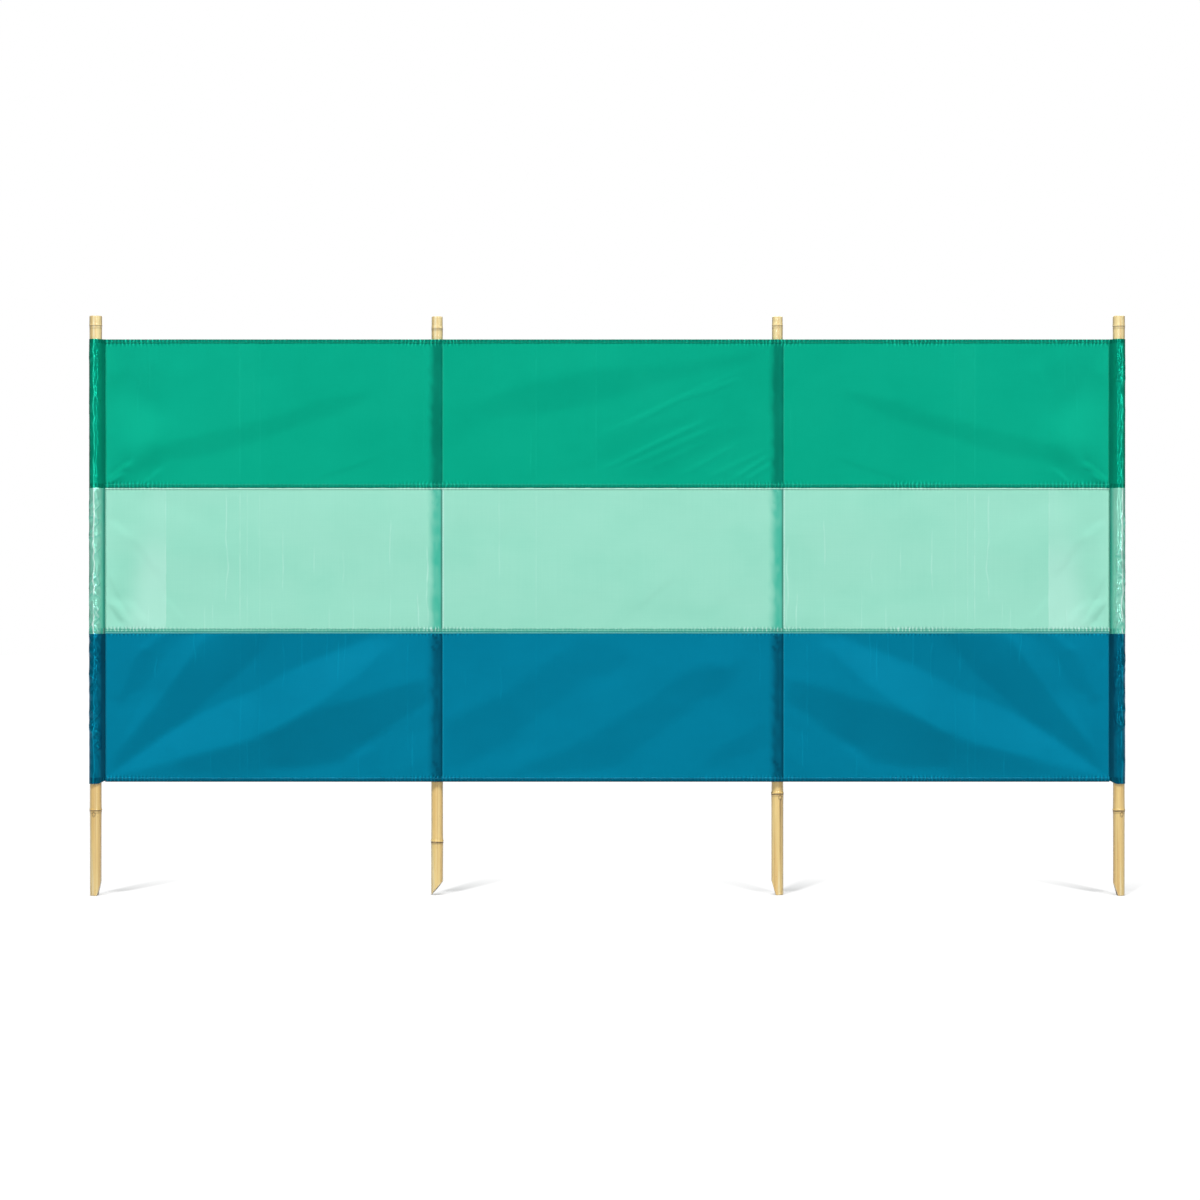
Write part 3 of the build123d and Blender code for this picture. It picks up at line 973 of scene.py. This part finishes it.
def culm(name):
    """A hollow culm turned about its axis, as one closed skin: from the middle of the lower wall across the
    hollow, down inside, over the slashed foot, up the outside, over the rim and down to the upper wall."""
    foot, top, low_node, stub, side, start, height, turn = CULMS[name]
    nodes = culm_nodes(name)
    phi = np.linspace(-math.pi / 2, 1.5 * math.pi, AROUND, endpoint=False)[None, :]
    lobes = np.random.default_rng(len(name) + side).uniform(-1, 1, 4)

    def slash(radius):
        """Height of the slanting cut at this radius."""
        along = radius * np.cos(phi - math.radians(turn)) * side
        return np.maximum((along - start) * height / (foot - start), 0.0)

    def stacked(rows):
        """The radius and height of every point of these rows."""
        return [np.concatenate([np.broadcast_to(row[part], (1, AROUND)) for row in rows]) for part in (0, 1)]

    bore, cap = foot - CULM_WALL, low_node - DIAPHRAGM
    below = [(0.0, cap), (bore * 0.5, cap), (bore - 0.001, cap), (bore, cap - 0.001)]
    below += [(bore, z) for z in np.linspace(cap - 0.02, LEVEL, 6)]
    below += [(bore, slash(bore) + (LEVEL - slash(bore)) * t) for t in (0.6, 0.3, 0.1, 0.0)]
    below += [(radius, slash(radius)) for radius in np.linspace(bore, foot - 0.0004, CUT_ROWS)]

    # fine steps where it shows, below and above the cloth, and finer ones at its nodes
    heights = [np.arange(0.0, 0.290, 0.0025), np.arange(0.290, 1.250, 0.012), np.arange(1.250, POLE_TOP, 0.0025)]
    for node in nodes:
        heights.append(np.arange(node - 0.009, node + 0.009, 0.0006 if node < 0.3 or node > 1.25 else 0.003))
    heights = np.unique(np.round(np.concatenate(heights + [[POLE_TOP - RIM]]), 5))
    heights = heights[(heights <= POLE_TOP - RIM) & (heights >= 0.0)][:, None]
    edge = slash(foot)
    skin_z = np.where(heights < LEVEL, edge + (LEVEL - edge) * (heights / LEVEL), heights) + 0.0003 * (heights < 0.0001)
    wobble = 0.010 * np.cos(2 * phi + 0.7) + 0.006 * np.cos(3 * phi + 1.9)
    skin_radius = culm_radius(name, skin_z) * (1.0 + wobble * (0.6 + 0.4 * np.sin(9 * heights + lobes[0])))
    if name in BUDS:
        swollen = bell(facing(phi, BUDS[name]), 13) * bell(skin_z - (low_node - BUD_DROP), 0.0042)
        skin_radius = skin_radius + 0.0011 * swollen
    if name == "right_inner":
        channel = np.clip(1.0 - (facing(phi, GROOVE_TURN) / 13.0) ** 2, 0.0, 1.0)
        deep = np.clip((low_node - 0.012 - skin_z) / 0.004, 0, 1) * np.clip(skin_z / (low_node - 0.009), 0, 1)
        skin_radius = skin_radius - 0.0011 * channel * deep
    from_node = np.abs(skin_z[..., None] - nodes).min(-1)
    skin_z = skin_z + 0.0006 * np.sin(2 * phi + lobes[1] * 3) * bell(from_node, 0.006)

    bore, floor = top - CULM_WALL, POLE_TOP - stub + DIAPHRAGM
    above = [(top - 0.0004, POLE_TOP), (top - 0.002, POLE_TOP), (bore + 0.001, POLE_TOP)]
    above += [(bore + 0.0003, POLE_TOP - 0.0002), (bore, POLE_TOP - 0.001)]
    above += [(bore, z) for z in np.linspace(POLE_TOP - 0.004, floor + 0.001, 5)]
    above += [(bore - 0.001, floor), (bore * 0.5, floor), (0.0, floor)]

    radius, z = [np.concatenate(parts) for parts in zip(stacked(below), (skin_radius, skin_z), stacked(above))]
    turned = np.broadcast_to(phi, radius.shape)
    x = AXIS[name][0] + radius * np.cos(turned)
    y = AXIS[name][1] + radius * np.sin(turned)
    number = np.arange(len(radius))[:, None]
    first_skin, last_skin = len(below), len(radius) - len(above)
    skin = (number >= first_skin) & (number < last_skin)
    sawn_foot = (number >= first_skin - CUT_ROWS) & (number < first_skin)
    sawn_top = (number >= last_skin) & (number < last_skin + 4)
    piece = surface(
        f"{name}_culm", (x, y, z), CULM, closed=True, uv=("culm", turned * foot + 0.4 * len(name), z + 0.2 * side),
        marks={
            "ring": np.clip(node_rings(name, turned, z, lobes), 0, 1) * skin,
            "pale": smooth(z, 0.05, 1.32) * skin,
            "cut": sawn_foot | sawn_top,
            # the inside, painted dark as shade
            "hollow": 0.85 * ((number < first_skin - CUT_ROWS) | (number >= last_skin + 5)),
            "groove": branch_groove(name, turned, z) * skin,
            # darker bamboo, with painted shade down one side and at both edges
            "aged": darker_and_shaded_sides(name, turned, z) * skin,
        },
    )
    weld(piece)
    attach(piece, POLE_BODY[name])
    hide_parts(f"{name}_pole")


def node_rings(name, turned, z, lobes):
    """Each node's dark line with the fainter ones beside it, and the dark edge of the bud scar."""
    rings = 0.0 * z
    wave = 0.0005 * np.sin(3 * turned + lobes[2] * 3)
    for node in culm_nodes(name):
        off = z - node
        bold = 0.55 if node > CLOTH_TOP else 1.0
        rings = rings + 0.95 * bold * bell(off + LINE_DROP[name] + 0.3 * wave, 0.0012)
        rings = rings + 0.08 * bell(off + 0.0050, 0.0035)
        rings = rings + 0.22 * bell(off + 0.0058 + wave, 0.0009)
        rings = rings + 0.06 * bell(off - 0.0034, 0.0012)
    if name in BUDS:
        away = np.hypot(facing(turned, BUDS[name]) / 15, (z - (CULMS[name][2] - BUD_DROP)) / 0.005)
        rings = rings + 0.60 * bell(away - 1.0, 0.28)
    return rings


def branch_groove(name, turned, z):
    """Two dark lines down the groove on the right inner culm, which fade towards its foot."""
    if name != "right_inner":
        return 0.0 * z
    off, below_node = facing(turned, GROOVE_TURN), CULMS[name][2] - 0.010 - z
    groove = (bell(off, 5.0) + 0.6 * bell(off - 17.0, 5.0)) * smooth(z, 0.0, 0.14)
    return groove * np.clip(below_node / 0.004, 0, 1) * (0.85 + 0.55 * smooth(z, 0.13, 0.20))


def darker_and_shaded_sides(name, turned, z):
    """Darker bamboo all round below the cloth, with painted shade down one side there and at both edges seen from the
    front.
    """
    even, darker_side = DARKER_AND_SHADED[name]
    aged = (even + 0.22 * smooth(darker_side * np.cos(turned), 0.25, 1.0)) * (z < 1.0)
    return aged + 0.34 * smooth(np.abs(np.cos(turned)), 0.80, 1.0)


def weld(piece):
    """Joins the points that meet at each end of a turned shape."""
    shell = bmesh.new()
    shell.from_mesh(piece.data)
    bmesh.ops.remove_doubles(shell, verts=shell.verts, dist=1e-6)
    shell.to_mesh(piece.data)
    shell.free()


for name in POLES:
    culm(name)


# ---- sleeves ----
SLEEVE_AROUND = 84
OUTER_TAIL = 0.0219  # from an outer pole's axis to the seam that closes its sleeve
# for each colour: how bright the painted highlight along the front crease is, and how dark the painted shade where the
# sleeve turns back to its seam
CREASE_LIT = {"green": 4.5, "mint": 3.5, "blue": 1.6}
SEAM_SIDE_SHADE = {"green": 0.40, "mint": 0.60, "blue": 0.75}
# heights of the middle and half the width of the doubled cloth at each sleeve's low end, from that end
LOW_END = {"blue": (0.0, 0.008), "mint": (0.006, 0.006), "green": (0.005, 0.005)}


def loop(radius, reach, share):
    """A teardrop round a circle at the origin, whose point is at (reach, 0): along one tangent, round the
    circle and back along the other, with share from 0 to 1 by length. Gives points, outward normals, length."""
    tip = np.arccos(radius / reach)
    flat = np.sqrt(reach ** 2 - radius ** 2)
    arc = radius * (2 * math.pi - 2 * tip)
    whole = 2 * flat + arc
    run = share * whole
    first, last = run < flat, run > flat + arc
    angle = np.where(first, tip, np.where(last, 2 * math.pi - tip, tip + (run - flat) / radius))
    rest = np.where(first, flat - run, np.where(last, flat + arc - run, 0.0))
    px = radius * np.cos(angle) + rest * np.sin(angle)
    py = radius * np.sin(angle) - rest * np.cos(angle)
    return px, py, np.cos(angle), np.sin(angle), whole


def sleeve(name, colour):
    """One stripe's length of a pole's sleeve: the teardrop loop at each height, a little clear of the culm,
    with soft wrinkles along its outward normal."""
    inner = name in INNER_POLES
    low, high = SLEEVE_SPANS[colour]
    share = (np.arange(SLEEVE_AROUND) / SLEEVE_AROUND)[None, :]
    fine_at = [low, high] if colour == "mint" else [low, low + 0.008, high]
    z = places(low, high, 0.0028, 0.0015, fine_at, 0.006)[:, None]
    # wide enough to pass over every node inside it
    nodes = culm_nodes(name)
    inside = nodes[(nodes > HEM_LOW) & (nodes < CLOTH_TOP)]
    radius = max(culm_radius(name, inside + 0.0012).max(), CULMS[name][1] + 0.0002) * 1.012 + 0.0002
    if inner:
        tail = (INNER_SEAM - 0.0006, CLOTH_Y + 0.0009 - AXIS[name][1])
    else:
        tail = (OUTER_TAIL if name == "left_outer" else -OUTER_TAIL, 0.0)
    toward = math.atan2(tail[1], tail[0])
    px, py, nx, ny, whole = loop(radius + 0.0 * z, math.hypot(*tail), share)
    run = share * whole
    seed = 100 + 7 * POLES.index(name)
    away = window(share, 0.10, 0.22, 0.80, 0.92)
    wrinkle = 0.00055 * (1.0 + waves(run, z, 0.012, 0.022, seed))
    wrinkle = wrinkle + 0.00020 * (1.0 + waves(run, z, 0.006, 0.009, seed + 1))
    wrinkle = wrinkle + 0.0012 * np.maximum(0.0, waves(run + 0.6 * z, z - 0.3 * share, 0.006, 0.05, seed + 2)) ** 2
    # sharp little creases, crossing each other where they bunch: a painted highlight along their tops and painted shade
    # just below
    bunched = smooth(waves(z, run, 0.045, 0.05, seed + 5), -0.3, 0.6)
    shaded, lit = 0.0 * run, 0.0 * run
    for lean_over, more in ((0.7, 3), (-0.9, 4)):
        line, under = [1.0 - np.abs(waves(run + lean_over * h, h, 0.018, 0.045, seed + more)) for h in (z, z + 0.0022)]
        wrinkle = wrinkle + 0.0019 * bunched * line ** 3
        lit = lit + bunched * line ** 10
        shaded = shaded + bunched * under ** 6
    if not inner:
        # one long upright crease down the front of the loose sleeve, with a painted highlight along it
        crease_x = (-0.0020 if name == "left_outer" else -0.0050) + 0.0016 * wander(z, 0.014, seed + 6)
        front = (py < 0.0) if name == "left_outer" else (py > 0.0)
        crease = bell(px - crease_x, 0.0012) * front * smooth(wander(z, 0.03, seed + 7), -0.9, -0.2)
        wrinkle = wrinkle + 0.0009 * crease
        lit = lit + CREASE_LIT[colour] * crease
    # the side away from the seam stays straight
    wrinkle = wrinkle * away * (1.0 - 0.75 * smooth(-nx, 0.70, 0.95))
    if inner:
        wrinkle = 0.8 * wrinkle * smooth(ny * math.cos(toward) + nx * math.sin(toward), -0.2, 0.4)
    px, py = px + nx * wrinkle, py + ny * wrinkle
    x = AXIS[name][0] + px * math.cos(toward) - py * math.sin(toward)
    y = AXIS[name][1] + px * math.sin(toward) + py * math.cos(toward)
    if not inner and colour == "blue":
        # the lower end hangs a little below the hem, less towards the seam
        z = z - 0.006 * smooth(np.abs(share - 0.5), 0.5, 0.28) * (1.0 - smooth(z, low, low + 0.05))
    middle, half = LOW_END[colour]
    ends = 0.5 * (1.0 - smooth(np.abs(z - low - middle), half, half + 0.0015))
    if colour == "green":
        ends = ends + 0.5 * smooth(z, high - 0.0095, high - 0.0080)
    # sleeves start darker than single cloth: doubled cloth, with painted shade where the pole inside blocks the light
    # from behind
    outer_base = {"green": 0.22, "mint": 0.22, "blue": 0.48 if name == "left_outer" else 0.62}[colour]
    layers = (0.55 if inner else outer_base) + ends + 0.75 * shaded * away
    # painted shade where the loop turns back to its seam; in mint a darker painted line close to it
    layers = layers + SEAM_SIDE_SHADE[colour] * (smooth(share, 0.16, 0.06) + smooth(share, 0.84, 0.94))
    if colour == "mint":
        layers = layers + 0.75 * (smooth(share, 0.07, 0.045) + smooth(share, 0.93, 0.955))
    # painted shade along the edge away from the seam, which the front sees edge-on
    layers = layers + 0.4 * smooth(-nx, 0.72, 0.90) + 1.0 * smooth(-nx, 0.90, 0.97)
    piece = surface(
        f"{name}_{colour}_pocket", (x, y, z), CLOTHS[colour], closed=True, uv=("cloth", run, z),
        marks={"layers": np.clip(layers, 0, 2.0), "tuck": 0.35 * ends, "pressed": 1.3 * lit * away, "taut": 1.0},
        thick=CLOTH_THICK,
    )
    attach(piece, POLE_BODY[name])
    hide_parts(f"{name}_{colour}_sleeve")
    high - low


for name in POLES:
    for colour in SLEEVE_SPANS:
        sleeve(name, colour)


# ---- floor, background and lights ----
STREAKS = {
    # how strongly each foot's shadow shows where it runs back to the right, and back to the left
    "left_outer": (1.0, 0.0),
    "left_inner": (1.0, 0.0),
    "right_inner": (1.0, 0.45),
    "right_outer": (0.8, 1.0),
}
RUN_X, RUN_Y = 0.29, 0.957  # the direction a streak runs back in, on the right
WHITE = (1.0, 1.0, 1.0, 1.0)


def white_floor():
    """A wide white floor: it looks white to the camera, but shows the lamps' shading only within streaks drawn behind
    the feet, shaped and faded like those feet's shadows.
    """
    x = np.concatenate([[-30.0], np.arange(-2.1, 1.4, 0.008), [30.0]])[None, :]
    y = np.concatenate([[-30.0], np.arange(-0.12, 0.62, 0.008), [30.0]])[:, None]
    kept = 0.0 * x * y
    for name in POLES:
        for side, shown in zip((1.0, -1.0), STREAKS[name]):
            across, back = (x - AXIS[name][0]) * side, y - AXIS[name][1]
            run = np.clip(across * RUN_X + back * RUN_Y, 0.0, 0.50)
            away = np.hypot(across - RUN_X * run, back - RUN_Y * run)
            fade = np.interp(run, [0.0, 0.05, 0.20, 0.36, 0.48], [1.0, 0.9, 0.45, 0.16, 0.0])
            kept = np.maximum(kept, shown * fade * (1.0 - smooth(away, 0.010 + 0.02 * run, 0.024 + 0.06 * run)))
    finish = Finish(bpy.data.materials.new("white_floor"))
    seen = finish.light_ray("Camera") + finish.light_ray("Glossy") + finish.light_ray("Transmission")
    # it throws back less light than it shows, so that the folds keep their shading
    paper = finish.value("ShaderNodeBsdfDiffuse", 0, {}, {"Color": 0.70 - finish.light_ray("Diffuse") * 0.35})
    glow = finish.value("ShaderNodeEmission", 0, {}, {"Color": WHITE, "Strength": 1.06})
    # within a drawn streak the camera sees more of the floor's real shading, so the streak reads as a foot's shadow
    share = seen * (0.97 - finish.attribute("kept") * 0.62)
    white = finish.close("ShaderNodeMixShader", {0: share, 1: paper, 2: glow})
    surface("floor", (x, y, 0.0), white, marks={"kept": kept})


def surroundings():
    """White to the camera and through clear things; to everything else an even soft light."""
    finish = Finish(bpy.data.worlds.new("studio"))
    seen = finish.light_ray("Camera") + finish.light_ray("Transmission")
    inputs = {"Color": WHITE, "Strength": 0.115 + seen * 0.885}
    bpy.context.scene.world = finish.close("ShaderNodeBackground", inputs, "ShaderNodeOutputWorld")


def softbox(name, place, wide, tall, power):
    light = bpy.data.lights.new(name, "AREA")
    light.shape = "RECTANGLE"
    light.size, light.size_y, light.energy = wide, tall, power
    made = place_in_scene(name, light)
    made.location = place
    made.rotation_euler = (Vector((-0.4, CLOTH_Y, 0.7)) - Vector(place)).to_track_quat("-Z", "Y").to_euler()


white_floor()
surroundings()
softbox("top_front", (-0.4, -3.5, 9.7), 6.0, 1.8, 1290.0)
softbox("behind", (-0.4, 9.5, 5.0), 6.0, 3.0, 480.0)
softbox("left_front", (-4.6, -12.2, 3.4), 0.35, 6.2, 200.0)
softbox("right_front", (3.8, -12.2, 3.4), 0.35, 6.2, 178.0)
